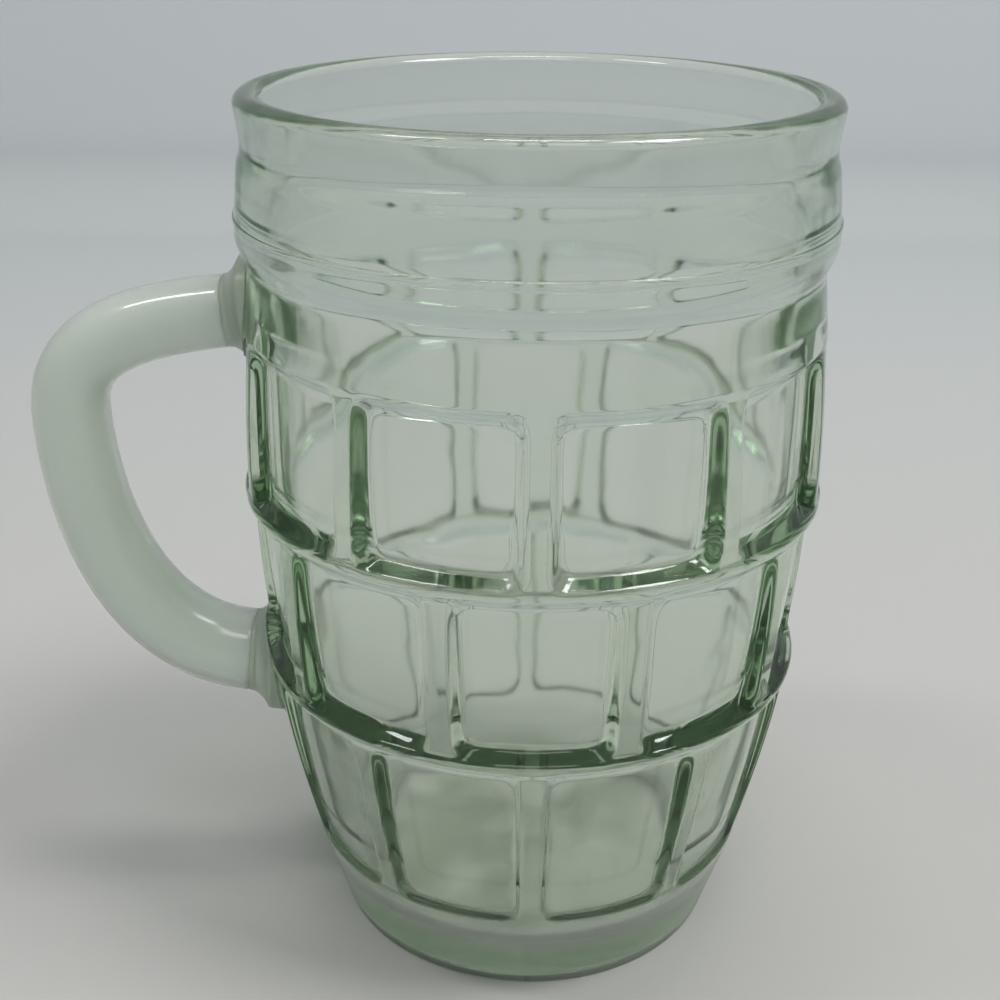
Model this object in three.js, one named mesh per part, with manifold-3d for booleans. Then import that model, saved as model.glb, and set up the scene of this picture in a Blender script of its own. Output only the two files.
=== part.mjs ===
// Pressed-glass barrel mug: a clear barrel with three staggered rows of recessed windows, and a
// separately made handle welded to it at two flared pads.
// Millimetres, +Z up. The origin is on the barrel's axis, in the plane that the mug stands on,
// and the handle points along -X.

import * as THREE from 'three';
import { mergeVertices } from 'three/addons/utils/BufferGeometryUtils.js';
import Module from 'manifold-3d';

const wasm = await Module();
wasm.setup();

// Heights of the barrel's zones, stacked from the table up
const BASE_RING_HEIGHT = 16.2;
const LOWER_ROW_HEIGHT = 30.3;
const MIDDLE_ROW_HEIGHT = 26.4;
const UPPER_ROW_HEIGHT = 24.2;
const BAND_HEIGHT = 1.8;
const SHOULDER_HEIGHT = 10.3;
const COLLAR_HEIGHT = 16.5;
const NECK_HEIGHT = 7.5;

// Outside radii of the barrel, from the table up
const FOOT_RADIUS = 31.9;
const BASE_RING_RADIUS = 36.7;
const LOWER_BAND_RADIUS = 43.1;
const UPPER_BAND_RADIUS = 45;
const SHOULDER_RADIUS = 43.8;
const COLLAR_SEAT_RADIUS = 42.7;
const COLLAR_RADIUS = 44.4;
const COLLAR_TOP_RADIUS = 43.4;
const NECK_RADIUS = 42.6;
const LIP_RADIUS = 43.4;

// Small forms of the outside
const FOOT_ROUNDING = 1.6;
const FOOT_RING_WIDTH = 4.5;
const FOOT_RECESS_DEPTH = 0.8;
const COLLAR_FLARE_HEIGHT = 3.6;
const COLLAR_RIDGE_ABOVE_FLARE = 3;
const COLLAR_RIDGE_WIDTH = 1.6;
const COLLAR_RIDGE_HEIGHT = 0.4;
const COLLAR_STEP_HEIGHT = 2.2;
const LIP_CROWN_HEIGHT = 1.6;

// Glass thickness at the ribs, and the floor inside
const LIP_WALL = 4;
const SHOULDER_WALL = 5;
const UPPER_BAND_WALL = 6.6;
const LOWER_BAND_WALL = 6.9;
const BASE_WALL = 6.2;
const FLOOR_THICKNESS = 7.5;
const FLOOR_ROUNDING = 5;

// Windows: the same count in each row, with ribs between them and a ledge at the bottom.
// A ledge's slope is its depth over its height.
const WINDOWS_PER_ROW = 10;
const RIB_WIDTH = 4.8;
const WINDOW_CORNER_RADIUS = 2.6;
const RECESS_AT_TOP = 1.3;
const RECESS_AT_BOTTOM = 3;
const LOWEST_RECESS = 1.1;
const LEDGE_SLOPE = 2.2;

// How far the ribs stand back from the bands, at their feet and at their heads
const UPPER_RIB_FOOT_SETBACK = 0.3;
const MIDDLE_RIB_HEAD_SETBACK = 0.8;
const MIDDLE_RIB_FOOT_SETBACK = 0.5;
const LOWER_RIB_HEAD_SETBACK = 0.5;

// Handle: its line runs from the upper joint out to its reach and back to the lower joint
const UPPER_JOINT_BELOW_COLLAR = 9.5;
const LOWER_JOINT_BELOW_BAND = 3.9;
const HANDLE_STAND_OUT = 27.3;
const HANDLE_REACH_BELOW_UPPER_JOINT = 16.5;
const HANDLE_TOP_PULL = 16;
const HANDLE_TOP_SLOPE_DEGREES = 6;
const HANDLE_SHOULDER_PULL = 11;
const HANDLE_BACK_PULL = 17;
const HANDLE_BOTTOM_PULL = 20;
const HANDLE_BOTTOM_SLOPE_DEGREES = 5;
const HANDLE_THICKNESS_TOP = 10.9;
const HANDLE_THICKNESS_BOTTOM = 13.2;
const HANDLE_WIDTH_TOP = 12;
const HANDLE_WIDTH_BOTTOM = 13.4;
const HANDLE_SQUARENESS = 2.3;

// Weld pads: depth out of the barrel, flare, creep up the barrel, and plain land left round them
const UPPER_PAD_DEPTH = 3;
const UPPER_PAD_FLARE = 2.4;
const UPPER_PAD_CREEP = 0.4;
const LOWER_PAD_DEPTH = 3.8;
const LOWER_PAD_FLARE = 3.6;
const LOWER_PAD_CREEP = 1.2;
const PAD_LAND = 0.8;

// Clearances between the pieces, how far a cutter stands out of what it cuts, and the finest edge kept
const SEAT_GAP = 0.3;
const OVERCUT = 3;
const SLIVER = 0.001;

// Smoothness
const ROUND_SEGMENTS = 60;
const ZONE_STEPS = 2;
const CORNER_STEPS = 2;
const ARC_STEPS = 3;
const HANDLE_STEPS = 26;
const HANDLE_SIDES = 16;
const PAD_STEPS = 4;

// Levels and rows worked out from the sizes above
const lowerRowTop = BASE_RING_HEIGHT + LOWER_ROW_HEIGHT;
const middleRowBottom = lowerRowTop + BAND_HEIGHT;
const middleRowTop = middleRowBottom + MIDDLE_ROW_HEIGHT;
const upperRowBottom = middleRowTop + BAND_HEIGHT;
const upperRowTop = upperRowBottom + UPPER_ROW_HEIGHT;
const collarBottom = upperRowTop + SHOULDER_HEIGHT;
const collarTop = collarBottom + COLLAR_HEIGHT;
const rimHeight = collarTop + NECK_HEIGHT;
const lowerBandMiddle = lowerRowTop + BAND_HEIGHT / 2;
const upperBandMiddle = middleRowTop + BAND_HEIGHT / 2;
const lipHeight = rimHeight - LIP_CROWN_HEIGHT;
const windowPitch = (2 * Math.PI) / WINDOWS_PER_ROW;
const handleAzimuth = Math.PI;

const rows = [
  {
    bottom: BASE_RING_HEIGHT,
    top: lowerRowTop,
    turn: 0,
    recess: LOWEST_RECESS,
    footSetback: 0,
    headSetback: LOWER_RIB_HEAD_SETBACK,
  },
  {
    bottom: middleRowBottom,
    top: middleRowTop,
    turn: windowPitch / 2,
    recess: RECESS_AT_BOTTOM,
    footSetback: MIDDLE_RIB_FOOT_SETBACK,
    headSetback: MIDDLE_RIB_HEAD_SETBACK,
  },
  {
    bottom: upperRowBottom,
    top: upperRowTop,
    turn: 0,
    recess: RECESS_AT_BOTTOM,
    footSetback: UPPER_RIB_FOOT_SETBACK,
    headSetback: 0,
  },
];

// Smooth curves of radius against height: outside over the bands, and inside
function radiusCurve(stations) {
  const heights = stations.map((station) => station[0]);
  const radii = stations.map((station) => station[1]);
  const curve = new THREE.CubicInterpolant(heights, radii, 1, new Float64Array(1));
  return (height) => curve.evaluate(height)[0];
}

const bandRadius = radiusCurve([
  [0, FOOT_RADIUS],
  [BASE_RING_HEIGHT, BASE_RING_RADIUS],
  [lowerBandMiddle, LOWER_BAND_RADIUS],
  [upperBandMiddle, UPPER_BAND_RADIUS],
  [upperRowTop, SHOULDER_RADIUS],
  [collarBottom, COLLAR_SEAT_RADIUS],
]);

const floorEdge = FLOOR_THICKNESS + FLOOR_ROUNDING;
const boreRadius = radiusCurve([
  [floorEdge, bandRadius(floorEdge) - BASE_WALL],
  [lowerBandMiddle, LOWER_BAND_RADIUS - LOWER_BAND_WALL],
  [upperBandMiddle, UPPER_BAND_RADIUS - UPPER_BAND_WALL],
  [upperRowTop, SHOULDER_RADIUS - SHOULDER_WALL],
  [lipHeight, LIP_RADIUS - LIP_WALL],
]);

// Points of a radius curve from one height to another
function samples(radius, from, to, steps, grow = 0) {
  const points = [];
  for (let i = 0; i <= steps; i += 1) {
    const height = THREE.MathUtils.lerp(from, to, i / steps);
    points.push(new THREE.Vector2(radius(height) + grow, height));
  }
  return points;
}

// Points of an elliptical arc in the plane of radius and height
function arc(centreRadius, centreHeight, acrossRadius, acrossHeight, fromDegrees, toDegrees, steps) {
  const points = [];
  for (let i = 0; i <= steps; i += 1) {
    const angle = THREE.MathUtils.degToRad(THREE.MathUtils.lerp(fromDegrees, toDegrees, i / steps));
    const radius = centreRadius + acrossRadius * Math.cos(angle);
    const height = centreHeight + acrossHeight * Math.sin(angle);
    points.push(new THREE.Vector2(radius, height));
  }
  return points;
}

// Radius over the ribs: they stand back from the bands, and come out to them over short slopes
function ribRadius(level) {
  const row = rows.find(({ bottom, top }) => level > bottom && level < top);
  if (!row) return bandRadius(level);
  const nearest = Math.min(level - row.bottom, row.top - level);
  const setback = THREE.MathUtils.mapLinear(level, row.bottom, row.top, row.footSetback, row.headSetback);
  return bandRadius(level) - Math.min(nearest * LEDGE_SLOPE, setback);
}

// Outside of the barrel from the foot to the underside of the collar
function barrelSide(grow) {
  const footEdge = bandRadius(FOOT_ROUNDING) - FOOT_ROUNDING + grow;
  const points = arc(footEdge, FOOT_ROUNDING, FOOT_ROUNDING, FOOT_ROUNDING, -90, 0, ARC_STEPS);
  const rowLevels = rows.flatMap(({ bottom, top, footSetback, headSetback }) =>
    [bottom, bottom + footSetback / LEDGE_SLOPE, top - headSetback / LEDGE_SLOPE, top]);
  const levels = [...new Set([FOOT_ROUNDING, ...rowLevels, collarBottom])];
  for (let i = 0; i + 1 < levels.length; i += 1) {
    points.push(...samples(ribRadius, levels[i], levels[i + 1], ZONE_STEPS, grow).slice(1));
  }
  return points;
}

// Collar with its ridge, neck and rounded lip
function collarAndLip(grow) {
  const flareTop = collarBottom + COLLAR_FLARE_HEIGHT;
  const ridge = flareTop + COLLAR_RIDGE_ABOVE_FLARE;
  const stepBottom = collarTop - COLLAR_STEP_HEIGHT;
  const collarRadius = (height) =>
    THREE.MathUtils.mapLinear(height, flareTop, stepBottom, COLLAR_RADIUS, COLLAR_TOP_RADIUS) + grow;
  const halfRidge = COLLAR_RIDGE_WIDTH / 2;
  const halfLip = LIP_WALL / 2;
  return [
    new THREE.Vector2(collarRadius(flareTop), flareTop),
    new THREE.Vector2(collarRadius(ridge - halfRidge), ridge - halfRidge),
    new THREE.Vector2(collarRadius(ridge) + COLLAR_RIDGE_HEIGHT, ridge),
    new THREE.Vector2(collarRadius(ridge + halfRidge), ridge + halfRidge),
    new THREE.Vector2(collarRadius(stepBottom), stepBottom),
    new THREE.Vector2(NECK_RADIUS + grow, collarTop),
    ...arc(LIP_RADIUS - halfLip, lipHeight, halfLip + grow, LIP_CROWN_HEIGHT, 0, 180, 2 * ARC_STEPS),
  ];
}

// Inside of the barrel from the lip to the middle of the floor
function boreSide() {
  const wallHeights = [lipHeight, upperRowTop, upperBandMiddle, lowerBandMiddle, floorEdge];
  const points = [];
  for (let i = 0; i + 1 < wallHeights.length; i += 1) {
    points.push(...samples(boreRadius, wallHeights[i], wallHeights[i + 1], ZONE_STEPS).slice(1));
  }
  const cornerCentre = boreRadius(floorEdge) - FLOOR_ROUNDING;
  points.push(...arc(cornerCentre, floorEdge, FLOOR_ROUNDING, FLOOR_ROUNDING, 0, -90, ARC_STEPS).slice(1));
  points.push(new THREE.Vector2(0, FLOOR_THICKNESS));
  return points;
}

// Underside: a flat ring to stand on, round a shallow recess
function underside() {
  const ringInside = FOOT_RADIUS - FOOT_ROUNDING - FOOT_RING_WIDTH;
  return [
    new THREE.Vector2(0, FOOT_RECESS_DEPTH),
    new THREE.Vector2(ringInside - FOOT_RECESS_DEPTH, FOOT_RECESS_DEPTH),
    new THREE.Vector2(ringInside, 0),
  ];
}

// A geometry with points closer than a sliver made one, and the triangles that this closes left out
function welded(geometry) {
  const merged = mergeVertices(geometry, SLIVER);
  const corners = merged.index.array;
  const triangles = [];
  for (let i = 0; i < corners.length; i += 3) {
    const [a, b, c] = corners.slice(i, i + 3);
    if (a !== b && b !== c && c !== a) triangles.push(a, b, c);
  }
  return merged.setIndex(triangles);
}

// Solids for joining and cutting, from closed geometries and back
function solid(geometry) {
  const bare = geometry.clone();
  bare.deleteAttribute('normal');
  bare.deleteAttribute('uv');
  const closed = welded(bare);
  return new wasm.Manifold(new wasm.Mesh({
    numProp: 3,
    vertProperties: Float32Array.from(closed.attributes.position.array),
    triVerts: Uint32Array.from(closed.index.array),
  }));
}

function geometryOf(body) {
  const mesh = body.getMesh();
  const geometry = new THREE.BufferGeometry();
  geometry.setAttribute('position', new THREE.BufferAttribute(mesh.vertProperties, 3));
  geometry.setIndex(new THREE.BufferAttribute(mesh.triVerts, 1));
  const faceted = welded(geometry).toNonIndexed();
  faceted.computeVertexNormals();
  return faceted;
}

// A profile of radius and height turned about the barrel's axis
function revolved(profile) {
  const geometry = new THREE.LatheGeometry(profile, ROUND_SEGMENTS);
  geometry.rotateX(Math.PI / 2);
  return solid(geometry);
}

// Space that one row of windows takes out of the barrel, as a full ring
function windowRing(row) {
  const height = row.top - row.bottom;
  const paneRadius = (level) =>
    bandRadius(level)
    - THREE.MathUtils.lerp(row.recess, RECESS_AT_TOP, (level - row.bottom) / height);
  const paneBottom = row.bottom + row.recess / LEDGE_SLOPE;
  const ledgeEdge = new THREE.Vector2(bandRadius(row.bottom), row.bottom);
  const ledgeRoot = new THREE.Vector2(paneRadius(paneBottom), paneBottom);
  const ledgeOut = ledgeEdge.clone().sub(ledgeRoot).setLength(OVERCUT).add(ledgeEdge);
  const pane = samples(paneRadius, paneBottom, row.top, ZONE_STEPS);
  const topOut = new THREE.Vector2(bandRadius(row.top) + OVERCUT, row.top);
  return revolved([ledgeOut, topOut, ...pane.reverse(), ledgeOut]);
}

// Outline of one window seen square on: narrower where the barrel is, with round corners
function windowOutline(row) {
  const halfWidth = (level) => {
    const radius = bandRadius(level);
    const halfAngle = windowPitch / 2 - Math.asin(RIB_WIDTH / 2 / radius);
    return radius * Math.sin(halfAngle);
  };
  const { bottom, top } = row;
  const lean = Math.atan2(halfWidth(top) - halfWidth(bottom), top - bottom);
  const cut = WINDOW_CORNER_RADIUS * Math.tan((Math.PI / 2 - lean) / 2);
  const outline = new THREE.Shape();
  const low = halfWidth(bottom);
  const high = halfWidth(top);
  outline.moveTo(-low + cut, bottom);
  outline.lineTo(low - cut, bottom);
  outline.quadraticCurveTo(low, bottom, low + cut * Math.sin(lean), bottom + cut * Math.cos(lean));
  outline.lineTo(high - cut * Math.sin(lean), top - cut * Math.cos(lean));
  outline.quadraticCurveTo(high, top, high - cut, top);
  outline.lineTo(-high + cut, top);
  outline.quadraticCurveTo(-high, top, -high + cut * Math.sin(lean), top - cut * Math.cos(lean));
  outline.lineTo(-low - cut * Math.sin(lean), bottom + cut * Math.cos(lean));
  outline.quadraticCurveTo(-low, bottom, -low + cut, bottom);
  return outline;
}

// The windows of one row, ready to cut: the ring kept only inside the windows' outlines
function rowOfWindows(row) {
  const depth = UPPER_BAND_RADIUS + 2 * OVERCUT;
  const prism = new THREE.ExtrudeGeometry(windowOutline(row), {
    depth,
    bevelEnabled: false,
    curveSegments: CORNER_STEPS,
  });
  prism.rotateX(Math.PI / 2);
  prism.rotateZ(Math.PI / 2);
  let outlines = null;
  for (let i = 0; i < WINDOWS_PER_ROW; i += 1) {
    const turned = prism.clone().rotateZ(handleAzimuth + row.turn + i * windowPitch);
    const one = solid(turned);
    outlines = outlines ? outlines.add(one) : one;
  }
  return windowRing(row).intersect(outlines);
}

// Line of the handle in the plane y = 0, from the upper joint to the lower one
const upperJoint = collarBottom - UPPER_JOINT_BELOW_COLLAR;
const lowerJoint = lowerRowTop - LOWER_JOINT_BELOW_BAND;
const upperEnd = new THREE.Vector3(-bandRadius(upperJoint) - UPPER_PAD_DEPTH, 0, upperJoint);
const lowerEnd = new THREE.Vector3(-bandRadius(lowerJoint) - LOWER_PAD_DEPTH, 0, lowerJoint);
const handleReach = UPPER_BAND_RADIUS + HANDLE_STAND_OUT;
const farthest = new THREE.Vector3(-handleReach, 0, upperJoint - HANDLE_REACH_BELOW_UPPER_JOINT);
const upward = new THREE.Vector3(0, 0, 1);

// Direction out of a joint, sloping up or down by some degrees
function outOfJoint(degrees) {
  const angle = THREE.MathUtils.degToRad(degrees);
  return new THREE.Vector3(-Math.cos(angle), 0, Math.sin(angle));
}

const outOfUpperJoint = outOfJoint(-HANDLE_TOP_SLOPE_DEGREES);
const outOfLowerJoint = outOfJoint(HANDLE_BOTTOM_SLOPE_DEGREES);

const handleLine = new THREE.CurvePath();
handleLine.add(new THREE.CubicBezierCurve3(
  upperEnd,
  upperEnd.clone().addScaledVector(outOfUpperJoint, HANDLE_TOP_PULL),
  farthest.clone().addScaledVector(upward, HANDLE_SHOULDER_PULL),
  farthest,
));
handleLine.add(new THREE.CubicBezierCurve3(
  farthest,
  farthest.clone().addScaledVector(upward, -HANDLE_BACK_PULL),
  lowerEnd.clone().addScaledVector(outOfLowerJoint, HANDLE_BOTTOM_PULL),
  lowerEnd,
));

// One rounded section, square to a direction in the plane of the handle
function sectionRing(centre, along, thickness, width) {
  const across = new THREE.Vector3(along.z, 0, -along.x);
  const power = 2 / HANDLE_SQUARENESS;
  const bulge = (value) => Math.sign(value) * Math.abs(value) ** power;
  const ring = [];
  for (let i = 0; i < HANDLE_SIDES; i += 1) {
    const angle = (i * 2 * Math.PI) / HANDLE_SIDES;
    const point = centre.clone().addScaledVector(across, (bulge(Math.cos(angle)) * thickness) / 2);
    point.y += (bulge(Math.sin(angle)) * width) / 2;
    ring.push(point);
  }
  return ring;
}

// A closed skin through rings of equal counts, with a flat cap at each end
function loft(rings) {
  const count = rings[0].length;
  const points = rings.flat();
  const triangles = [];
  for (let r = 0; r + 1 < rings.length; r += 1) {
    for (let i = 0; i < count; i += 1) {
      const a = r * count + i;
      const b = r * count + ((i + 1) % count);
      triangles.push(a, b, b + count, a, b + count, a + count);
    }
  }
  const last = (rings.length - 1) * count;
  for (let i = 1; i + 1 < count; i += 1) {
    triangles.push(0, i + 1, i);
    triangles.push(last, last + i, last + i + 1);
  }
  const geometry = new THREE.BufferGeometry().setFromPoints(points);
  geometry.setIndex(triangles);
  return solid(geometry);
}

function handleSolid() {
  const rings = [];
  for (let i = 0; i <= HANDLE_STEPS; i += 1) {
    const t = i / HANDLE_STEPS;
    const thickness = THREE.MathUtils.lerp(HANDLE_THICKNESS_TOP, HANDLE_THICKNESS_BOTTOM, t);
    const width = THREE.MathUtils.lerp(HANDLE_WIDTH_TOP, HANDLE_WIDTH_BOTTOM, t);
    rings.push(sectionRing(handleLine.getPointAt(t), handleLine.getTangentAt(t), thickness, width));
  }
  return loft(rings);
}

// A weld pad flares from the handle's end to the barrel and runs on into it. The margin widens it.
function padRod(pad, margin) {
  const rings = [];
  const inward = pad.outward.clone().negate();
  const start = pad.end.clone().addScaledVector(inward, SEAT_GAP);
  for (let i = 0; i <= PAD_STEPS; i += 1) {
    const s = i / PAD_STEPS;
    const flare = s * s;
    const centre = start.clone().addScaledVector(inward, s * pad.depth);
    centre.z += flare * pad.creep;
    const growth = 2 * (flare * pad.flare + margin);
    rings.push(sectionRing(centre, inward, pad.thickness + growth, pad.width + growth));
  }
  const widest = rings[rings.length - 1];
  const depth = pad.depth + RECESS_AT_BOTTOM + OVERCUT;
  rings.push(widest.map((point) => point.clone().addScaledVector(inward, depth)));
  return loft(rings);
}

// The barrel: windows all round, left plain under the weld pads
function barrelSolid(pads) {
  const profile = [...underside(), ...barrelSide(0), ...collarAndLip(0), ...boreSide()];
  const lands = pads.map((pad) => padRod(pad, PAD_LAND)).reduce((all, land) => all.add(land));
  return rows.reduce(
    (body, row) => body.subtract(rowOfWindows(row).subtract(lands)),
    revolved(profile),
  );
}

// A pad is cut back to the barrel's plain surface
function padSolid(pad) {
  const seat = revolved([
    new THREE.Vector2(0, 0),
    ...barrelSide(SEAT_GAP),
    ...collarAndLip(SEAT_GAP),
    new THREE.Vector2(0, lipHeight),
  ]);
  return padRod(pad, 0).subtract(seat);
}

// Materials
const clearGlass = { color: 0xc4d4c6, roughness: 0.08, metalness: 0 };
const weldGlass = { color: 0x8f9d8c, roughness: 0.15, metalness: 0 };
const handleGlass = { color: 0xb9c4ba, roughness: 0.2, metalness: 0 };

function piece(name, body, look) {
  const mesh = new THREE.Mesh(geometryOf(body), new THREE.MeshStandardMaterial(look));
  mesh.name = name;
  return mesh;
}

// Assembly
const upperPad = {
  end: upperEnd,
  outward: outOfUpperJoint,
  depth: UPPER_PAD_DEPTH,
  flare: UPPER_PAD_FLARE,
  creep: UPPER_PAD_CREEP,
  thickness: HANDLE_THICKNESS_TOP,
  width: HANDLE_WIDTH_TOP,
};
const lowerPad = {
  end: lowerEnd,
  outward: outOfLowerJoint,
  depth: LOWER_PAD_DEPTH,
  flare: LOWER_PAD_FLARE,
  creep: LOWER_PAD_CREEP,
  thickness: HANDLE_THICKNESS_BOTTOM,
  width: HANDLE_WIDTH_BOTTOM,
};

const mug = new THREE.Group();
mug.add(piece('barrel', barrelSolid([upperPad, lowerPad]), clearGlass));
mug.add(piece('upper_handle_pad', padSolid(upperPad), weldGlass));
mug.add(piece('lower_handle_pad', padSolid(lowerPad), weldGlass));
mug.add(piece('handle', handleSolid(), handleGlass));

export default mug;
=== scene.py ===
"""Looks of a pressed-glass barrel mug: a clear green barrel with three staggered rows of recessed windows,
and a milky handle welded to it at two pads.

Sizes are in millimetres, in the part's own frame: +Z up, the barrel's axis at the origin, the handle along
-X. Meshes are made in metres, and the stage, the camera and the lamps are in metres.
"""

import math

import bpy
import numpy as np
from mathutils import Matrix, Vector


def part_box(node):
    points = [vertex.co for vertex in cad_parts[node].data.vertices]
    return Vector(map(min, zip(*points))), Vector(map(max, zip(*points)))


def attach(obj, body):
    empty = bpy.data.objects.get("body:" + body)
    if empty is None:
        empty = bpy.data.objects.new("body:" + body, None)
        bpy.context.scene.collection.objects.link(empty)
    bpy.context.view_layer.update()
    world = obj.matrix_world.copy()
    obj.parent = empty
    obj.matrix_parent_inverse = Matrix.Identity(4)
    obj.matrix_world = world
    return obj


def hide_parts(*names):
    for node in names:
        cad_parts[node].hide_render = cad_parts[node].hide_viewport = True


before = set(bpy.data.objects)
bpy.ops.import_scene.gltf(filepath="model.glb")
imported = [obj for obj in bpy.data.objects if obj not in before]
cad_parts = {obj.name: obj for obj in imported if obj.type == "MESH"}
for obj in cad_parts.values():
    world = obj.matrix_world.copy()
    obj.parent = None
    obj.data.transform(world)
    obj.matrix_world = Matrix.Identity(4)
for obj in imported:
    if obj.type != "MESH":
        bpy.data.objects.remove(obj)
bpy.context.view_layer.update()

MM = 0.001

# Heights of the barrel's zones, stacked from the table up
BASE_RING_HEIGHT = 16.2
LOWER_ROW_HEIGHT = 30.3
MIDDLE_ROW_HEIGHT = 26.4
UPPER_ROW_HEIGHT = 24.2
BAND_HEIGHT = 1.8
SHOULDER_HEIGHT = 10.3
COLLAR_HEIGHT = 16.5
NECK_HEIGHT = 7.5

# Outside radii of the barrel, from the table up. The widest one comes from the frame.
FOOT_RADIUS = 31.9
BASE_RING_RADIUS = 36.7
LOWER_BAND_RADIUS = 43.1
UPPER_BAND_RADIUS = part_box("barrel")[1].x / MM
SHOULDER_RADIUS = 43.8
COLLAR_SEAT_RADIUS = 42.7
COLLAR_RADIUS = 44.4
COLLAR_TOP_RADIUS = 43.4
NECK_RADIUS = 42.6
LIP_RADIUS = 43.4

# Small forms of the outside
FOOT_ROUNDING = 0.8
FOOT_RING_WIDTH = 4.5
FOOT_RECESS_DEPTH = 0.8
COLLAR_FLARE_HEIGHT = 3.6
COLLAR_RIDGE_ABOVE_FLARE = 3
COLLAR_RIDGE_WIDTH = 1.6
COLLAR_RIDGE_HEIGHT = 0.4
COLLAR_STEP_HEIGHT = 2.2
LIP_CROWN_HEIGHT = 1.6
HOLLOW_ROUNDING = 0.8
SEAT_ROUNDING = 1.4
FLARE_ROUNDING = 1.8
RIDGE_ROUNDING = 0.5
STEP_ROUNDING = 0.8
NECK_ROUNDING = 1.8

# Glass thickness at the ribs, the floor inside, and how far the inside swells behind the collar
LIP_WALL = 4
SHOULDER_WALL = 5
UPPER_BAND_WALL = 6.6
LOWER_BAND_WALL = 6.9
BASE_WALL = 6.2
FLOOR_THICKNESS = 7.5
FLOOR_ROUNDING = 5
COLLAR_SWELL = 1.2

# Windows: slopes are depth over distance from an edge, and roundings are in millimetres of depth
WINDOWS_PER_ROW = 10
RIB_WIDTH = 3.4
RECESS_AT_TOP = 2.2
RECESS_AT_BOTTOM = 3.0
LOWEST_RECESS = 1.1
SIDE_SLOPE = 2.2
LEDGE_SLOPE = 2.2
TOP_SLOPE = 1.6
CORNER_ROUNDING = 6
RIB_ROUNDING = 1.3
PANE_ROUNDING = 0.9
SETBACK_ROUNDING = 0.4
ROW_FADE_START = -1.2
ROW_FADE_END = 0.4
LOWER_RIB_HEAD_SETBACK = 0.5
MIDDLE_RIB_FOOT_SETBACK = 0.5
MIDDLE_RIB_HEAD_SETBACK = 0.8
UPPER_RIB_FOOT_SETBACK = 0.3

# Handle
UPPER_JOINT_BELOW_COLLAR = 9.5
LOWER_JOINT_BELOW_BAND = 3.9
HANDLE_REACH = 72.3
HANDLE_REACH_BELOW_UPPER_JOINT = 16.5
HANDLE_TOP_PULL = 16
HANDLE_TOP_SLOPE_DEGREES = 6
HANDLE_SHOULDER_PULL = 11
HANDLE_BACK_PULL = 17
HANDLE_BOTTOM_PULL = 20
HANDLE_BOTTOM_SLOPE_DEGREES = 5
HANDLE_THICKNESS_TOP = 10.9
HANDLE_THICKNESS_BOTTOM = 13.2
HANDLE_WIDTH_TOP = 12
HANDLE_WIDTH_BOTTOM = 13.4
HANDLE_SQUARENESS = 2.3

# Weld pads
UPPER_PAD_DEPTH = 3
UPPER_PAD_FLARE = 2.4
UPPER_PAD_CREEP = 0.4
LOWER_PAD_DEPTH = 3.8
LOWER_PAD_FLARE = 3.6
LOWER_PAD_CREEP = 1.2
PAD_LAND = 0.8
LAND_FADE = 1.12
WELD_LINE = 0.05

# Fineness of the meshes. A higher gather draws columns or rows closer to an edge.
RIB_COLUMNS = 7
RIB_GATHER = 1.6
PANE_COLUMNS = 10
PANE_GATHER = 1.5
LEDGE_ROWS = 16
LEDGE_GATHER = 1.5
TOP_ROWS = 12
TOP_GATHER = 1.6
BAND_ROWS = 4
COLUMNS_JOINED = 4
HOLLOW_STEPS = 4
FOOT_STEPS = 8
FOOT_ROWS = 10
SHOULDER_ROWS = 7
COLLAR_STEPS = 6
LIP_STEPS = 20
BORE_ROWS = 44
FLOOR_STEPS = 12
HANDLE_STEPS = 150
HANDLE_SIDES = 48
HANDLE_CURVE_STEPS = 400
PAD_SIDES = 96
PAD_STEPS = 14
SEAT_STEPS = 7
HALVINGS = 40
FARTHEST_REACH_IN_DEPTHS = 3

# Levels and rows worked out from the sizes above
lower_row_top = BASE_RING_HEIGHT + LOWER_ROW_HEIGHT
middle_row_bottom = lower_row_top + BAND_HEIGHT
middle_row_top = middle_row_bottom + MIDDLE_ROW_HEIGHT
upper_row_bottom = middle_row_top + BAND_HEIGHT
upper_row_top = upper_row_bottom + UPPER_ROW_HEIGHT
collar_bottom = upper_row_top + SHOULDER_HEIGHT
collar_top = collar_bottom + COLLAR_HEIGHT
rim_height = collar_top + NECK_HEIGHT
lower_band_middle = lower_row_top + BAND_HEIGHT / 2
upper_band_middle = middle_row_top + BAND_HEIGHT / 2
lip_height = rim_height - LIP_CROWN_HEIGHT
window_pitch = 2 * math.pi / WINDOWS_PER_ROW
handle_azimuth = math.pi

ROWS = [
    {
        "bottom": BASE_RING_HEIGHT,
        "top": lower_row_top,
        "turn": 0,
        "recess": LOWEST_RECESS,
        "setback": (0, LOWER_RIB_HEAD_SETBACK),
    },
    {
        "bottom": middle_row_bottom,
        "top": middle_row_top,
        "turn": window_pitch / 2,
        "recess": RECESS_AT_BOTTOM,
        "setback": (MIDDLE_RIB_FOOT_SETBACK, MIDDLE_RIB_HEAD_SETBACK),
    },
    {
        "bottom": upper_row_bottom,
        "top": upper_row_top,
        "turn": 0,
        "recess": RECESS_AT_BOTTOM,
        "setback": (UPPER_RIB_FOOT_SETBACK, 0),
    },
]


# Curves
def radius_curve(stations):
    """A smooth radius against height through stations of (height, radius)."""
    heights, radii = np.array(stations, float).T
    slopes = np.gradient(radii, heights)

    def radius(height):
        i = np.clip(np.searchsorted(heights, height) - 1, 0, len(heights) - 2)
        span = heights[i + 1] - heights[i]
        t = (height - heights[i]) / span
        rise = t * t * (3 - 2 * t)
        start = t * (1 - t) ** 2 * span * slopes[i]
        end = t * t * (t - 1) * span * slopes[i + 1]
        return radii[i] + rise * (radii[i + 1] - radii[i]) + start + end

    return radius


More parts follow.
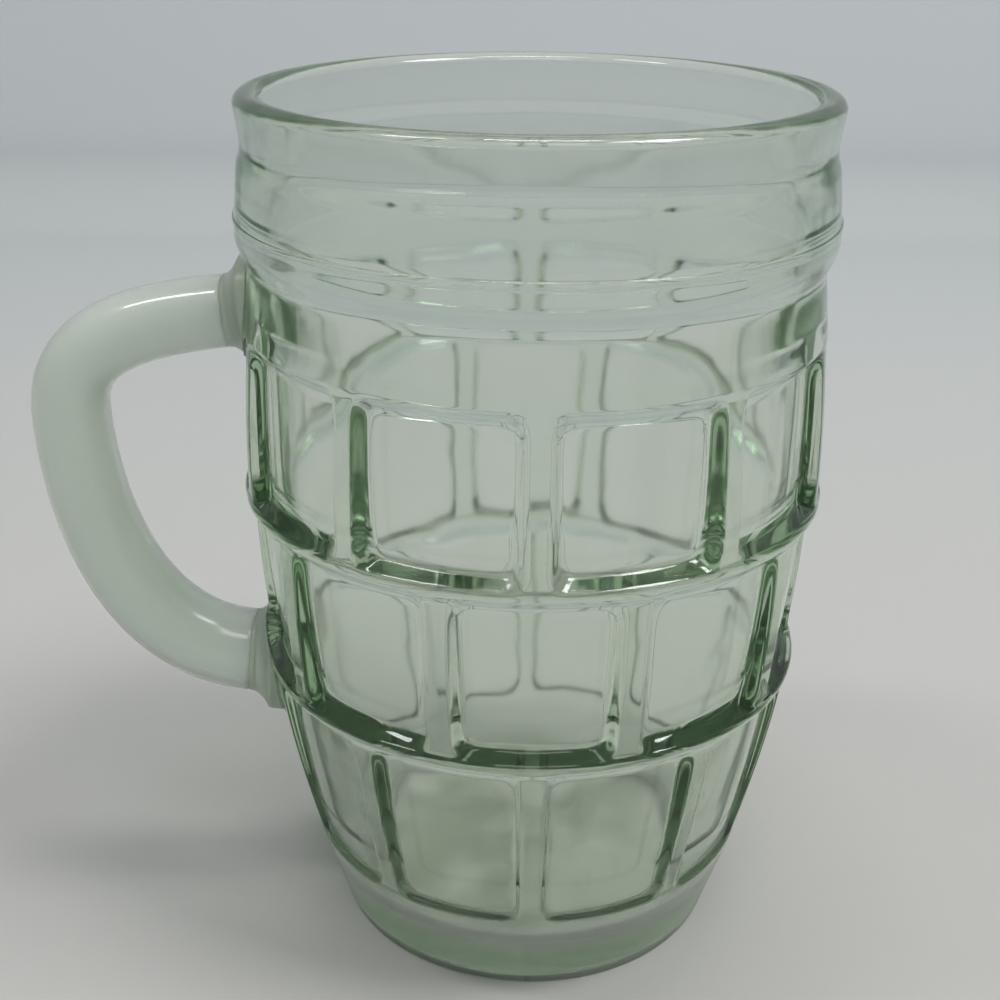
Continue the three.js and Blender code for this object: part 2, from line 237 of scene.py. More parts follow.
rib_radius = radius_curve([
    (0, FOOT_RADIUS),
    (BASE_RING_HEIGHT, BASE_RING_RADIUS),
    (lower_band_middle, LOWER_BAND_RADIUS),
    (upper_band_middle, UPPER_BAND_RADIUS),
    (upper_row_top, SHOULDER_RADIUS),
    (collar_bottom, COLLAR_SEAT_RADIUS),
])

floor_edge = FLOOR_THICKNESS + FLOOR_ROUNDING
bore_radius = radius_curve([
    (floor_edge, rib_radius(floor_edge) - BASE_WALL),
    (lower_band_middle, LOWER_BAND_RADIUS - LOWER_BAND_WALL),
    (upper_band_middle, UPPER_BAND_RADIUS - UPPER_BAND_WALL),
    (upper_row_top, SHOULDER_RADIUS - SHOULDER_WALL),
    (lip_height, LIP_RADIUS - LIP_WALL),
])


def soft_least(a, b, rounding):
    """The lesser of two heights, with the crease between them rounded."""
    near = np.maximum(rounding - np.abs(a - b), 0)
    return np.minimum(a, b) - near * near / (4 * rounding)


def soft_most(a, b, rounding):
    return -soft_least(-a, -b, rounding)


def soft_step(value, low, high):
    t = np.clip((value - low) / (high - low), 0, 1)
    return t * t * (3 - 2 * t)


def arc(centre, across, start, end, steps):
    """Points on an ellipse's arc, angles in degrees."""
    angles = np.radians(np.linspace(start, end, steps + 1))
    return [(centre[0] + across[0] * math.cos(a), centre[1] + across[1] * math.sin(a)) for a in angles]


# The handle's line and the pads that hold it
upper_joint = collar_bottom - UPPER_JOINT_BELOW_COLLAR
lower_joint = lower_row_top - LOWER_JOINT_BELOW_BAND


def out_of_joint(degrees):
    angle = math.radians(degrees)
    return np.array([-math.cos(angle), 0, math.sin(angle)])


upper_end = np.array([-rib_radius(upper_joint) - UPPER_PAD_DEPTH, 0, upper_joint])
lower_end = np.array([-rib_radius(lower_joint) - LOWER_PAD_DEPTH, 0, lower_joint])
out_of_upper_joint = out_of_joint(-HANDLE_TOP_SLOPE_DEGREES)
out_of_lower_joint = out_of_joint(HANDLE_BOTTOM_SLOPE_DEGREES)

PADS = {
    "upper_handle_pad": {
        "end": upper_end,
        "inward": -out_of_upper_joint,
        "depth": UPPER_PAD_DEPTH,
        "flare": UPPER_PAD_FLARE,
        "creep": UPPER_PAD_CREEP,
        "thickness": HANDLE_THICKNESS_TOP,
        "width": HANDLE_WIDTH_TOP,
    },
    "lower_handle_pad": {
        "end": lower_end,
        "inward": -out_of_lower_joint,
        "depth": LOWER_PAD_DEPTH,
        "flare": LOWER_PAD_FLARE,
        "creep": LOWER_PAD_CREEP,
        "thickness": HANDLE_THICKNESS_BOTTOM,
        "width": HANDLE_WIDTH_BOTTOM,
    },
}


def rounded(value):
    return np.sign(value) * np.abs(value) ** (2 / HANDLE_SQUARENESS)


def section(centre, along, thickness, width, angles):
    """Points of a rounded section, square to a direction in the handle's plane."""
    across = np.array([along[2], 0, -along[0]])
    side = np.array([0, 1, 0])
    return (
        centre
        + np.outer(rounded(np.cos(angles)) * thickness / 2, across)
        + np.outer(rounded(np.sin(angles)) * width / 2, side)
    )


def pad_rod(pad, reach, angles, margin=0.0):
    """Points of a pad's flared side, at a distance inward from the handle's end for each angle."""
    s = reach / pad["depth"]
    flare = np.minimum(s * s, 1)
    across = np.array([pad["inward"][2], 0, -pad["inward"][0]])
    side = np.array([0, 1, 0])
    growth = 2 * (flare * pad["flare"] + margin)
    half_thickness = rounded(np.cos(angles)) * (pad["thickness"] + growth) / 2
    half_width = rounded(np.sin(angles)) * (pad["width"] + growth) / 2
    points = pad["end"] + np.outer(reach, pad["inward"])
    points += half_thickness[:, None] * across + half_width[:, None] * side
    points[:, 2] += flare * pad["creep"]
    return points


def reach_to_barrel(pad, angles, gap, margin=0.0):
    """How far inward each line of a pad's side runs before it meets the barrel's plain surface."""
    low = np.zeros(len(angles))
    high = np.full(len(angles), FARTHEST_REACH_IN_DEPTHS * pad["depth"])
    for _ in range(HALVINGS):
        middle = (low + high) / 2
        points = pad_rod(pad, middle, angles, margin)
        outside = np.hypot(points[:, 0], points[:, 1]) > rib_radius(points[:, 2]) + gap
        low = np.where(outside, middle, low)
        high = np.where(outside, high, middle)
    return low


def land_outline(pad):
    """Middle and half sizes, along y and z, of the plain land that a pad sits on."""
    angles = np.linspace(0, 2 * math.pi, PAD_SIDES, endpoint=False)
    reach = reach_to_barrel(pad, angles, 0, PAD_LAND)
    points = pad_rod(pad, reach, angles, PAD_LAND)
    low, high = points.min(0), points.max(0)
    return (low[2] + high[2]) / 2, high[1], (high[2] - low[2]) / 2


LANDS = [land_outline(pad) for pad in PADS.values()]


# The barrel's outside
def rib_half_angle(level):
    return np.arcsin(RIB_WIDTH / 2 / rib_radius(level))


def column_angles(level):
    """Angles of the barrel's fine columns, gathered at the ribs' edges of both kinds of row."""
    edge = rib_half_angle(level)
    quarter = window_pitch / 4
    on_rib = edge * (1 - (np.arange(RIB_COLUMNS, 0, -1) / RIB_COLUMNS) ** RIB_GATHER)
    on_pane = edge + (quarter - edge) * (np.arange(PANE_COLUMNS) / PANE_COLUMNS) ** PANE_GATHER
    first = np.concatenate([on_rib, on_pane])
    half_pitch = np.concatenate([first, [quarter], (2 * quarter - first[1:])[::-1]])
    starts = handle_azimuth + np.arange(2 * WINDOWS_PER_ROW) * window_pitch / 2
    return (starts[:, None] + half_pitch).ravel()


def recess(angles, level):
    """Depth of the windows under the barrel's plain surface."""
    depth = np.zeros(len(angles))
    radius = rib_radius(level)
    for row in ROWS:
        if not row["bottom"] - BAND_HEIGHT < level < row["top"] + BAND_HEIGHT:
            continue
        turn = angles - handle_azimuth - row["turn"] + window_pitch / 2
        off_centre = np.abs(turn % window_pitch - window_pitch / 2)
        from_side = (window_pitch / 2 - rib_half_angle(level) - off_centre) * radius
        share = (level - row["bottom"]) / (row["top"] - row["bottom"])
        pane = row["recess"] + (RECESS_AT_TOP - row["recess"]) * share
        side = SIDE_SLOPE * from_side
        ledge = LEDGE_SLOPE * (level - row["bottom"])
        top = TOP_SLOPE * (row["top"] - level)
        wall = soft_least(side, np.minimum(ledge, top), CORNER_ROUNDING)
        window = soft_least(wall, pane, PANE_ROUNDING)
        setback = row["setback"][0] + (row["setback"][1] - row["setback"][0]) * share
        rib = soft_most(soft_least(min(ledge, top), setback, SETBACK_ROUNDING), 0.0, SETBACK_ROUNDING)
        in_row = soft_step(min(ledge, top), ROW_FADE_START, ROW_FADE_END)
        depth = np.maximum(depth, soft_most(window, rib, RIB_ROUNDING) * in_row)
    for middle, half_width, half_height in LANDS:
        beside = np.angle(np.exp(1j * (angles - handle_azimuth))) * radius
        out = np.hypot(beside / half_width, (level - middle) / half_height)
        depth = depth * soft_step(out, 1.0, LAND_FADE)
    return depth


def window_levels():
    """Levels of the fine rows from the lowest window to the highest, gathered at the windows' edges."""
    levels = []
    for row in ROWS:
        middle = (row["bottom"] + row["top"]) / 2
        band = np.arange(-BAND_ROWS, 0) / BAND_ROWS * BAND_HEIGHT
        levels += list(row["bottom"] + band)
        over_ledge = (np.arange(LEDGE_ROWS) / LEDGE_ROWS) ** LEDGE_GATHER
        under_top = (np.arange(TOP_ROWS, 0, -1) / TOP_ROWS) ** TOP_GATHER
        levels += list(row["bottom"] + (middle - row["bottom"]) * over_ledge)
        levels += list(row["top"] - (row["top"] - middle) * under_top)
    return levels + list(upper_row_top + np.arange(BAND_ROWS + 1) / BAND_ROWS * BAND_HEIGHT)


def ring_points(radius, angles, level):
    return np.stack([radius * np.cos(angles), radius * np.sin(angles), np.full(len(angles), level)], 1)


def window_rings():
    rings = []
    for level in window_levels():
        angles = column_angles(level)
        rings.append(ring_points(rib_radius(level) - recess(angles, level), angles, level))
    return rings


def plain_ring(radius, level):
    angles = column_angles(np.clip(level, BASE_RING_HEIGHT, upper_row_top))[::COLUMNS_JOINED]
    return ring_points(radius, angles, level)


def smooth_profile(points, rounding, steps):
    """A line of (radius, height) with each inner corner replaced by a curve that starts at its rounding."""
    out = [points[0]]
    for before, corner, after, size in zip(points, points[1:], points[2:], rounding):
        corner = np.array(corner, float)
        to_before = np.array(before) - corner
        to_after = np.array(after) - corner
        start = corner + to_before * min(size / np.hypot(*to_before), 0.5)
        end = corner + to_after * min(size / np.hypot(*to_after), 0.5)
        for t in np.linspace(0, 1, steps + 1):
            out.append(tuple((1 - t) ** 2 * start + 2 * t * (1 - t) * corner + t * t * end))
    return out + [points[-1]]


def foot_profile():
    """From the middle of the underside to just under the lowest windows."""
    ring_inside = FOOT_RADIUS - FOOT_ROUNDING - FOOT_RING_WIDTH
    foot_edge = rib_radius(FOOT_ROUNDING) - FOOT_ROUNDING
    hollow = [
        (ring_inside / 2, FOOT_RECESS_DEPTH),
        (ring_inside - FOOT_RECESS_DEPTH, FOOT_RECESS_DEPTH),
        (ring_inside, 0),
        (foot_edge, 0),
    ]
    points = smooth_profile(hollow, [HOLLOW_ROUNDING, HOLLOW_ROUNDING], HOLLOW_STEPS)
    points += arc((foot_edge, FOOT_ROUNDING), (FOOT_ROUNDING, FOOT_ROUNDING), -90, 0, FOOT_STEPS)[1:]
    for level in np.linspace(FOOT_ROUNDING, BASE_RING_HEIGHT - BAND_HEIGHT, FOOT_ROWS)[1:-1]:
        points.append((rib_radius(level), level))
    return points


def collar_profile():
    """From just over the highest windows to the lip's crown and down to the bore's first level."""
    flare_top = collar_bottom + COLLAR_FLARE_HEIGHT
    ridge = flare_top + COLLAR_RIDGE_ABOVE_FLARE
    step_bottom = collar_top - COLLAR_STEP_HEIGHT
    half_ridge = COLLAR_RIDGE_WIDTH / 2

    def collar_radius(level):
        share = (level - flare_top) / (step_bottom - flare_top)
        return COLLAR_RADIUS + (COLLAR_TOP_RADIUS - COLLAR_RADIUS) * share

    levels = np.linspace(upper_row_top + BAND_HEIGHT, collar_bottom, SHOULDER_ROWS)[1:-1]
    points = [(rib_radius(z), z) for z in levels]
    corners = [
        points[-1],
        (COLLAR_SEAT_RADIUS, collar_bottom),
        (collar_radius(flare_top), flare_top),
        (collar_radius(ridge - half_ridge), ridge - half_ridge),
        (collar_radius(ridge) + COLLAR_RIDGE_HEIGHT, ridge),
        (collar_radius(ridge + half_ridge), ridge + half_ridge),
        (collar_radius(step_bottom), step_bottom),
        (NECK_RADIUS, collar_top),
        (LIP_RADIUS, lip_height),
    ]
    roundings = [SEAT_ROUNDING, FLARE_ROUNDING, *[RIDGE_ROUNDING] * 3, STEP_ROUNDING, NECK_ROUNDING]
    points += smooth_profile(corners, roundings, COLLAR_STEPS)[1:]
    half_lip = LIP_WALL / 2
    points += arc((LIP_RADIUS - half_lip, lip_height), (half_lip, LIP_CROWN_HEIGHT), 0, 180, LIP_STEPS)[1:]
    return points


def bore_profile():
    """From under the lip down the inside to the middle of the floor. The inside swells with the collar."""
    widest = collar_bottom + COLLAR_FLARE_HEIGHT
    points = []
    for z in np.linspace(lip_height, floor_edge, BORE_ROWS)[1:]:
        swell = np.interp(z, [upper_row_top, widest, collar_top], [0, COLLAR_SWELL, 0])
        points.append((bore_radius(z) + swell, z))
    corner = bore_radius(floor_edge) - FLOOR_ROUNDING
    points += arc((corner, floor_edge), (FLOOR_ROUNDING, FLOOR_ROUNDING), 0, -90, FLOOR_STEPS)[1:]
    return points + [(corner / 2, FLOOR_THICKNESS)]


# Meshes
def bridge(first, second, first_count, second_count):
    """Faces between two rings, from the index of each one's first point. One may be finer than the other."""
    faces = []
    if first_count == second_count:
        for i in range(first_count):
            j = (i + 1) % first_count
            faces.append((first + i, first + j, second + j, second + i))
        return faces
    finer_first = first_count > second_count
    fine, fine_count = (first, first_count) if finer_first else (second, second_count)
    coarse, coarse_count = (second, second_count) if finer_first else (first, first_count)
    ratio = fine_count // coarse_count
    for i in range(coarse_count):
        a, b = coarse + i, coarse + (i + 1) % coarse_count
        points = [fine + (ratio * i + k) % fine_count for k in range(ratio + 1)]
        half = ratio // 2
        part = [(a, points[k + 1], points[k]) for k in range(half)]
        part.append((a, b, points[half]))
        part += [(b, points[k + 1], points[k]) for k in range(half, ratio)]
        faces += [face[::-1] for face in part] if finer_first else part
    return faces


def skin(name, rings, start=None, end=None):
    """A closed mesh through rings of points, ended by a point or by a flat fan of the end ring."""
    points, faces, first = [], [], []
    for ring in rings:
        first.append(sum(len(r) for r in points))
        points.append(ring)
    for i in range(len(rings) - 1):
        faces += bridge(first[i], first[i + 1], len(rings[i]), len(rings[i + 1]))
    total = sum(len(r) for r in points)
    for middle, index, turn in ((start, 0, -1), (end, len(rings) - 1, 1)):
        if middle is None:
            middle = rings[index].mean(0)
        count = len(rings[index])
        points.append(np.array([middle], float))
        for i in range(count):
            a, b = first[index] + i, first[index] + (i + 1) % count
            faces.append((a, b, total)[::turn])
        total += 1
    mesh = bpy.data.meshes.new(name)
    mesh.from_pydata((np.concatenate(points) * MM).tolist(), [], faces)
    mesh.validate()
    mesh.shade_smooth()
    piece = bpy.data.objects.new(name, mesh)
    bpy.context.scene.collection.objects.link(piece)
    return piece


def make_barrel():
    rings = [plain_ring(*point) for point in foot_profile()]
    rings += window_rings()
    rings += [plain_ring(*point) for point in collar_profile() + bore_profile()]
    return skin("glass_barrel", rings, (0, 0, FOOT_RECESS_DEPTH), (0, 0, FLOOR_THICKNESS))


def bezier(points, t):
    a, b, c, d = points
    return (1 - t) ** 3 * a + 3 * t * (1 - t) ** 2 * b + 3 * t * t * (1 - t) * c + t ** 3 * d


def handle_line():
    """Points along the handle's line, evenly spaced, from the upper joint to the lower one."""
    upward = np.array([0, 0, 1])
    farthest = np.array([-HANDLE_REACH, 0, upper_joint - HANDLE_REACH_BELOW_UPPER_JOINT])
    top = (
        upper_end,
        upper_end + HANDLE_TOP_PULL * out_of_upper_joint,
        farthest + HANDLE_SHOULDER_PULL * upward,
        farthest,
    )
    bottom = (
        farthest,
        farthest - HANDLE_BACK_PULL * upward,
        lower_end + HANDLE_BOTTOM_PULL * out_of_lower_joint,
        lower_end,
    )
    shares = np.linspace(0, 1, HANDLE_CURVE_STEPS)
    dense = np.array([bezier(top, t) for t in shares] + [bezier(bottom, t) for t in shares[1:]])
    run = np.concatenate([[0], np.cumsum(np.linalg.norm(np.diff(dense, axis=0), axis=1))])
    even = np.linspace(0, run[-1], HANDLE_STEPS + 1)
    return np.stack([np.interp(even, run, dense[:, k]) for k in range(3)], 1)


def make_handle():
    line = handle_line()
    along = np.gradient(line, axis=0)
    along[0], along[-1] = out_of_upper_joint, -out_of_lower_joint
    along /= np.linalg.norm(along, axis=1)[:, None]
    angles = np.linspace(0, 2 * math.pi, HANDLE_SIDES, endpoint=False)
    rings = []
    for i, (centre, direction) in enumerate(zip(line, along)):
        t = i / HANDLE_STEPS
        thickness = HANDLE_THICKNESS_TOP + (HANDLE_THICKNESS_BOTTOM - HANDLE_THICKNESS_TOP) * t
        width = HANDLE_WIDTH_TOP + (HANDLE_WIDTH_BOTTOM - HANDLE_WIDTH_TOP) * t
        rings.append(section(centre, direction, thickness, width, angles))
    return skin("milky_handle", rings)


def make_pad(name):
    """A weld pad: its flared side, closed by a face to the handle and a hollow face to the barrel."""
    pad = PADS[name]
    angles = np.linspace(0, 2 * math.pi, PAD_SIDES, endpoint=False)
    reach = reach_to_barrel(pad, angles, WELD_LINE)
    rings = []
    for s in np.linspace(0, 1, PAD_STEPS + 1):
        rings.append(pad_rod(pad, WELD_LINE + s * (reach - WELD_LINE), angles))
    seat = rings[-1]
    middle = (seat.min(0) + seat.max(0)) / 2

    def on_barrel(points):
        radius = rib_radius(points[:, 2]) + WELD_LINE
        points[:, 0] = -np.sqrt(radius ** 2 - points[:, 1] ** 2)
        return points

    for s in np.linspace(1, 0, SEAT_STEPS)[1:-1]:
        rings.append(on_barrel(middle + (seat - middle) * s))
    return skin(name + "_glass", rings, None, on_barrel(middle[None].copy())[0])


# Glass: a zone's limits are in millimetres, and it fades in from the first one to the second. What a glass
# absorbs is a colour and a density, and a ripple is a scale, a strength and a height in metres.
GLASS_IOR = 1.5
BARREL_ROUGHNESS = 0.07
BARREL_ABSORBS = ((0.567, 0.73, 0.535), 60)
BARREL_RIPPLE = (55, 0.4, 0.001)
BASE_SATIN_FADE = 4
BASE_SATIN_HEIGHTS = (BASE_RING_HEIGHT, BASE_RING_HEIGHT - BASE_SATIN_FADE)
BASE_SATIN_ROUGHNESS = 0.2
BASE_SATIN_MILKINESS = 0.4
CLOUDY_FLOOR_RADII = (29, 24)
CLOUDY_FLOOR_HEIGHTS = (13, 9)
CLOUDY_FLOOR_ROUGHNESS = 0.45
CLOUDY_FLOOR_COLOUR = (1.0, 1.0, 0.94)
CLOUD_SCALE = 70
CLOUD_DETAIL = 2
CLOUD_RANGE = (0.2, 0.7)
MOST_MILKINESS = 0.6
FOOT_STRIP_RADII = (26, 29)
FOOT_STRIP_HEIGHTS = (9, 7)
FOOT_STRIP_COLOUR = (0.86, 1.0, 0.84)
CLEAR_COLOUR = (1.0, 1.0, 1.0)
WELD_COLOUR = (0.79, 0.86, 0.76)
WELD_ABSORBS = ((0.5, 0.6, 0.45), 60)
HANDLE_COLOUR = (0.85, 0.935, 0.83)
HANDLE_ABSORBS = ((0.60, 0.77, 0.585), 14)
HANDLE_RIPPLE = (60, 0.15, 0.001)
HANDLE_SCATTER_DEPTH = 10
RIPPLE_DETAIL = 1.5


def new_material(name):
    material = bpy.data.materials.new(name)
    material.use_nodes = True
    tree = material.node_tree
    return material, tree, tree.nodes["Principled BSDF"]


def node_maths(tree):
    """Helpers that add nodes to a tree: a sum of any kind, a smooth step and a blend of two colours."""

    def maths(operation, *values):
        node = tree.nodes.new("ShaderNodeMath")
        node.operation = operation
        for socket, value in zip(node.inputs, values):
            if isinstance(value, (int, float)):
                socket.default_value = value
            else:
                tree.links.new(value, socket)
        return node.outputs["Value"]

    def step(value, low, high):
        node = tree.nodes.new("ShaderNodeMapRange")
        node.interpolation_type = "SMOOTHSTEP"
        node.inputs["From Min"].default_value = low
        node.inputs["From Max"].default_value = high
        tree.links.new(value, node.inputs["Value"])
        return node.outputs["Result"]

    def blend(share, first, second):
        node = tree.nodes.new("ShaderNodeMix")
        node.data_type = "RGBA"
        tree.links.new(share, node.inputs["Factor"])
        for socket, value in ((node.inputs["A"], first), (node.inputs["B"], second)):
            if isinstance(value, tuple):
                socket.default_value = (*value, 1)
            else:
                tree.links.new(value, socket)
        return node.outputs["Result"]

    return maths, step, blend


def place_nodes(tree, maths):
    """Sockets for a point's place: as a vector, as x, y and z, and as its distance from the barrel's axis."""
    place = tree.nodes.new("ShaderNodeTexCoord").outputs["Object"]
    split = tree.nodes.new("ShaderNodeSeparateXYZ")
    tree.links.new(place, split.inputs["Vector"])
    across, along, up = (split.outputs[axis] for axis in "XYZ")
    squares = maths("ADD", maths("MULTIPLY", across, across), maths("MULTIPLY", along, along))
    return place, across, along, up, maths("SQRT", squares)


def add_ripple(tree, shader, scale, strength, distance):
    """Slow waves in the surface, as hot glass has when it leaves the mould."""
    place = tree.nodes.new("ShaderNodeTexCoord")
    noise = tree.nodes.new("ShaderNodeTexNoise")
    noise.inputs["Scale"].default_value = scale
    noise.inputs["Detail"].default_value = RIPPLE_DETAIL
    bump = tree.nodes.new("ShaderNodeBump")
    bump.inputs["Strength"].default_value = strength
    bump.inputs["Distance"].default_value = distance
    tree.links.new(place.outputs["Object"], noise.inputs["Vector"])
    tree.links.new(noise.outputs["Fac"], bump.inputs["Height"])
    tree.links.new(bump.outputs["Normal"], shader.inputs["Normal"])


def add_absorption(tree, colour, density):
    inside = tree.nodes.new("ShaderNodeVolumeAbsorption")
    inside.inputs["Color"].default_value = (*colour, 1)
    inside.inputs["Density"].default_value = density
    tree.links.new(inside.outputs["Volume"], tree.nodes["Material Output"].inputs["Volume"])


def barrel_glass():
    """Clear green glass with a satin base ring, a green strip at the foot and a cloudy floor."""
    material, tree, shader = new_material("barrel_glass")
    shader.inputs["Base Color"].default_value = (*CLEAR_COLOUR, 1)
    shader.inputs["IOR"].default_value = GLASS_IOR
    shader.inputs["Transmission Weight"].default_value = 1
    add_ripple(tree, shader, *BARREL_RIPPLE)
    add_absorption(tree, *BARREL_ABSORBS)
    maths, step, blend = node_maths(tree)
    place, _, _, up, from_axis = place_nodes(tree, maths)

    def zone(value, limits):
        return step(value, limits[0] * MM, limits[1] * MM)

    ring = zone(up, BASE_SATIN_HEIGHTS)
    floor = maths("MULTIPLY", zone(from_axis, CLOUDY_FLOOR_RADII), zone(up, CLOUDY_FLOOR_HEIGHTS))
    strip = maths("MULTIPLY", zone(from_axis, FOOT_STRIP_RADII), zone(up, FOOT_STRIP_HEIGHTS))
    tint = blend(strip, blend(floor, CLEAR_COLOUR, CLOUDY_FLOOR_COLOUR), FOOT_STRIP_COLOUR)
    satin = maths("MULTIPLY_ADD", ring, BASE_SATIN_ROUGHNESS, BARREL_ROUGHNESS)
    rough = maths("MAXIMUM", satin, maths("MULTIPLY", floor, CLOUDY_FLOOR_ROUGHNESS))
    clouds = tree.nodes.new("ShaderNodeTexNoise")
    clouds.inputs["Scale"].default_value = CLOUD_SCALE
    clouds.inputs["Detail"].default_value = CLOUD_DETAIL
    tree.links.new(place, clouds.inputs["Vector"])
    cloudy = maths("MULTIPLY", floor, step(clouds.outputs["Fac"], *CLOUD_RANGE))
    milky = maths("MAXIMUM", cloudy, maths("MULTIPLY", ring, BASE_SATIN_MILKINESS))
    clear = maths("MULTIPLY_ADD", milky, -MOST_MILKINESS, 1)
    tree.links.new(tint, shader.inputs["Base Color"])
    tree.links.new(rough, shader.inputs["Roughness"])
    tree.links.new(clear, shader.inputs["Transmission Weight"])
    return material


def weld_glass():
    material, tree, shader = new_material("weld_glass")
    shader.inputs["Base Color"].default_value = (*WELD_COLOUR, 1)
    shader.inputs["Roughness"].default_value = 0.3
    shader.inputs["IOR"].default_value = GLASS_IOR
    shader.inputs["Transmission Weight"].default_value = 0.75
    add_absorption(tree, *WELD_ABSORBS)
    return material


def handle_glass():
    material, tree, shader = new_material("handle_glass")
    shader.inputs["Base Color"].default_value = (*HANDLE_COLOUR, 1)
    shader.inputs["Roughness"].default_value = 0.28
    shader.inputs["IOR"].default_value = GLASS_IOR
    shader.inputs["Transmission Weight"].default_value = 0.6
    shader.inputs["Subsurface Weight"].default_value = 1
    shader.inputs["Subsurface Radius"].default_value = (1, 1, 1)
    shader.inputs["Subsurface Scale"].default_value = HANDLE_SCATTER_DEPTH * MM
    shader.inputs["Coat Weight"].default_value = 1
    shader.inputs["Coat Roughness"].default_value = 0.06
    add_ripple(tree, shader, *HANDLE_RIPPLE)
    add_absorption(tree, *HANDLE_ABSORBS)
    return material


# Stage, in metres: a pale sweep with a soft foot to its wall, a camera and lights
STAGE_HALF_WIDTH = 1.4
STAGE_FRONT = -1.2
FLAT_HALF_DEPTH = 0.3
WALL_AT = 0.505
WALL_TOP = 1.1
COVE_RADIUS = 0.035
COVE_STEPS = 12
COVE_FADE = 1.5
# Painted light: a paler disc on the floor under the mug, standing in for the light that the glass base
# focuses onto the table.
PAINTED_CAUSTIC_LIGHT_RADII = (0.020, 0.026)
NEAR_FLOOR_COLOUR = (0.495, 0.487, 0.465)
FAR_FLOOR_COLOUR = (0.50, 0.52, 0.52)
PAINTED_CAUSTIC_LIGHT_COLOUR = (0.93, 0.93, 0.90)
WALL_COLOUR = (0.64, 0.665, 0.675)
HORIZON_COLOUR = (0.26, 0.30, 0.26)
SKY_COLOUR = (0.9, 0.95, 1)
SKY_FROM = 0.5
BACKDROP_COLOUR = (0.9, 0.93, 0.94)
WORLD_STRENGTH = 0.38
GLASS_BOUNCES = 24

CAMERA_PLACE = (-0.00505, -0.2124, 0.1634)
CAMERA_PITCH_DEGREES = 23.67
CAMERA_ROLL_DEGREES = 0.46
CAMERA_LENS = 51.88
CAMERA_SENSOR = 36
CAMERA_NEAR = 0.01

# Name, place, point that it faces, sizes and power
LAMPS = [
    ("middle_panel", (0.03, 0.0, 1.25), (0.03, 0.001, 0), (0.48, 0.13), 2.8),
    ("front_panel", (0.03, -0.55, 1.1), (0.03, 0.0, 0), (0.48, 0.3), 1.3),
    ("left_panel", (-0.6, -0.1, 1.2), (-0.6, -0.099, 0), (0.46, 0.125), 2.6),
    ("right_panel", (0.55, -0.2, 1.1), (0, 0, 0.05), (0.36, 0.36), 6.6),
]


def sweep_paint():
    """A floor that cools a little towards the wall, with a disc of painted light under the mug that stands in
    for the light the glass base focuses onto the table, and a paler wall.
    """
    material, tree, shader = new_material("sweep")
    maths, step, blend = node_maths(tree)
    _, _, along, up, from_axis = place_nodes(tree, maths)
    floor = blend(step(along, 0, WALL_AT), NEAR_FLOOR_COLOUR, FAR_FLOOR_COLOUR)
    # Painted light: the paler disc under the mug stands in for light focused through the glass base.
    floor = blend(step(from_axis, *PAINTED_CAUSTIC_LIGHT_RADII), PAINTED_CAUSTIC_LIGHT_COLOUR, floor)
    whole = blend(step(up, 0, COVE_FADE * COVE_RADIUS), floor, WALL_COLOUR)
    tree.links.new(whole, shader.inputs["Base Color"])
    shader.inputs["Roughness"].default_value = 0.8
    shader.inputs["Specular IOR Level"].default_value = 0.2
    return material


def make_sweep():
    line = [(STAGE_FRONT, 0.0), (-FLAT_HALF_DEPTH, 0.0), (FLAT_HALF_DEPTH, 0.0)]
    line += arc((WALL_AT - COVE_RADIUS, COVE_RADIUS), (COVE_RADIUS, COVE_RADIUS), -90, 0, COVE_STEPS)
    line += [(WALL_AT, WALL_TOP)]
    points, faces = [], []
    for y, z in line:
        points += [(-STAGE_HALF_WIDTH, y, z), (STAGE_HALF_WIDTH, y, z)]
    for i in range(len(line) - 1):
        faces.append((2 * i, 2 * i + 1, 2 * i + 3, 2 * i + 2))
    mesh = bpy.data.meshes.new("sweep")
    mesh.from_pydata(points, [], faces)
    mesh.shade_smooth()
    mesh.materials.append(sweep_paint())
    sweep = bpy.data.objects.new("sweep", mesh)
    bpy.context.scene.collection.objects.link(sweep)


def make_camera():
    """The photograph's view: fitted to the barrel's rings."""
    camera = bpy.data.objects.new("camera", bpy.data.cameras.new("camera"))
    camera.data.lens = CAMERA_LENS
    camera.data.sensor_width = CAMERA_SENSOR
    camera.data.clip_start = CAMERA_NEAR
    pitch = Matrix.Rotation(math.radians(90 - CAMERA_PITCH_DEGREES), 4, "X")
    roll = Matrix.Rotation(math.radians(CAMERA_ROLL_DEGREES), 4, "Z")
    camera.matrix_world = Matrix.Translation(CAMERA_PLACE) @ pitch @ roll
    bpy.context.scene.collection.objects.link(camera)
    bpy.context.scene.camera = camera


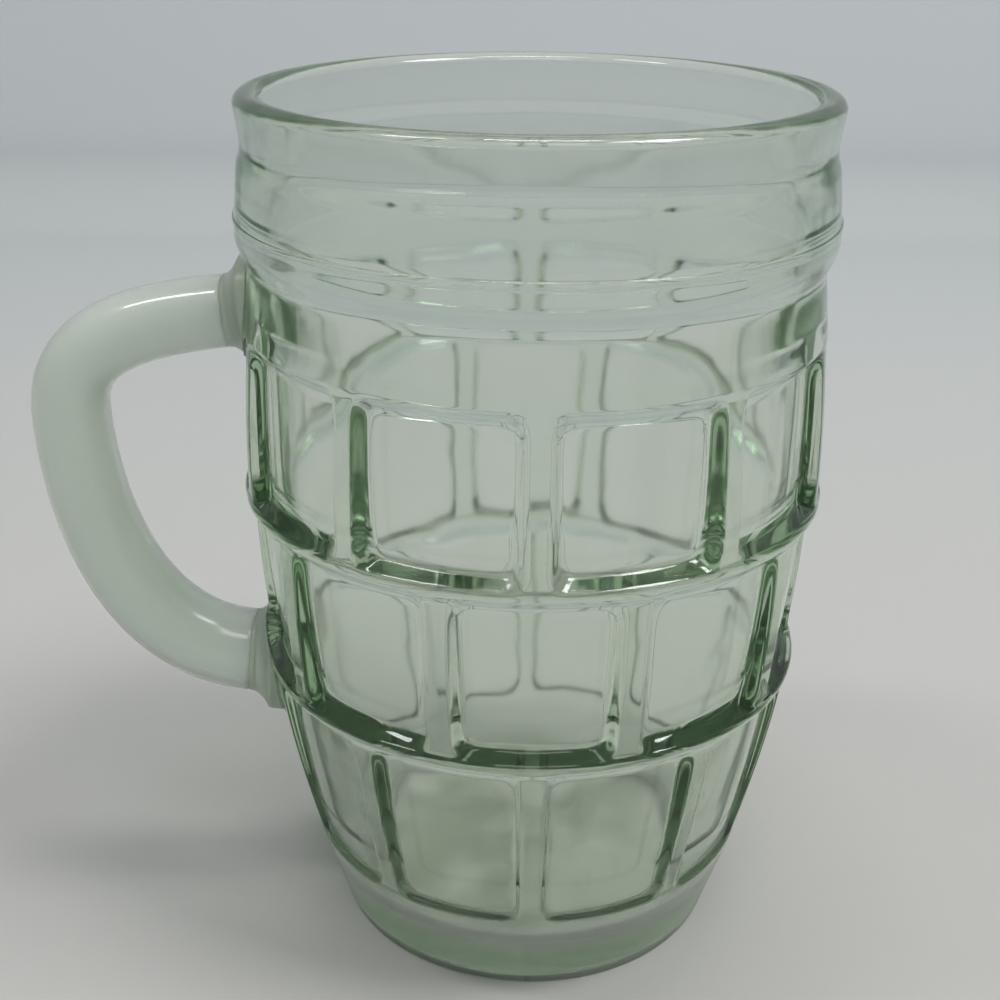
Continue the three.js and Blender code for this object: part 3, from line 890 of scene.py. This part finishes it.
def add_lamp(name, place, target, size, power):
    lamp = bpy.data.objects.new(name, bpy.data.lights.new(name, "AREA"))
    lamp.data.shape = "RECTANGLE"
    lamp.data.size, lamp.data.size_y = size
    lamp.data.energy = power
    lamp.location = place
    lamp.rotation_euler = (Vector(target) - Vector(place)).to_track_quat("-Z", "Y").to_euler()
    bpy.context.scene.collection.objects.link(lamp)


def make_world():
    """Room light: pale overhead and dim at the sides, with a pale backdrop that the camera and glass see."""
    world = bpy.data.worlds.new("room")
    bpy.context.scene.world = world
    world.use_nodes = True
    tree = world.node_tree
    background = tree.nodes["Background"]
    place = tree.nodes.new("ShaderNodeTexCoord")
    split = tree.nodes.new("ShaderNodeSeparateXYZ")
    ramp = tree.nodes.new("ShaderNodeValToRGB")
    horizon, sky = ramp.color_ramp.elements
    horizon.color = (*HORIZON_COLOUR, 1)
    sky.position = SKY_FROM
    sky.color = (*SKY_COLOUR, 1)
    tree.links.new(place.outputs["Generated"], split.inputs["Vector"])
    tree.links.new(split.outputs["Z"], ramp.inputs["Fac"])
    maths, _, blend = node_maths(tree)
    path = tree.nodes.new("ShaderNodeLightPath")
    seen = maths("MAXIMUM", path.outputs["Is Camera Ray"], path.outputs["Is Glossy Ray"])
    seen = maths("MAXIMUM", seen, path.outputs["Is Transmission Ray"])
    tree.links.new(blend(seen, ramp.outputs["Color"], BACKDROP_COLOUR), background.inputs["Color"])
    background.inputs["Strength"].default_value = WORLD_STRENGTH


def build():
    scene = bpy.context.scene
    scene.view_settings.view_transform = "Standard"
    scene.cycles.max_bounces = GLASS_BOUNCES
    scene.cycles.transmission_bounces = GLASS_BOUNCES
    scene.cycles.glossy_bounces = GLASS_BOUNCES
    make_camera()
    make_sweep()
    make_world()
    for lamp in LAMPS:
        add_lamp(*lamp)
    weld = weld_glass()
    dressed = [
        (make_barrel(), "barrel", "barrel_glass", barrel_glass()),
        (make_handle(), "handle", "handle_glass", handle_glass()),
        (make_pad("upper_handle_pad"), "upper_handle_pad", "weld_glass", weld),
        (make_pad("lower_handle_pad"), "lower_handle_pad", "weld_glass", weld),
    ]
    for piece, node, slot, material in dressed:
        piece.data.materials.append(material)
        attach(piece, "root")
        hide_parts(node)


build()
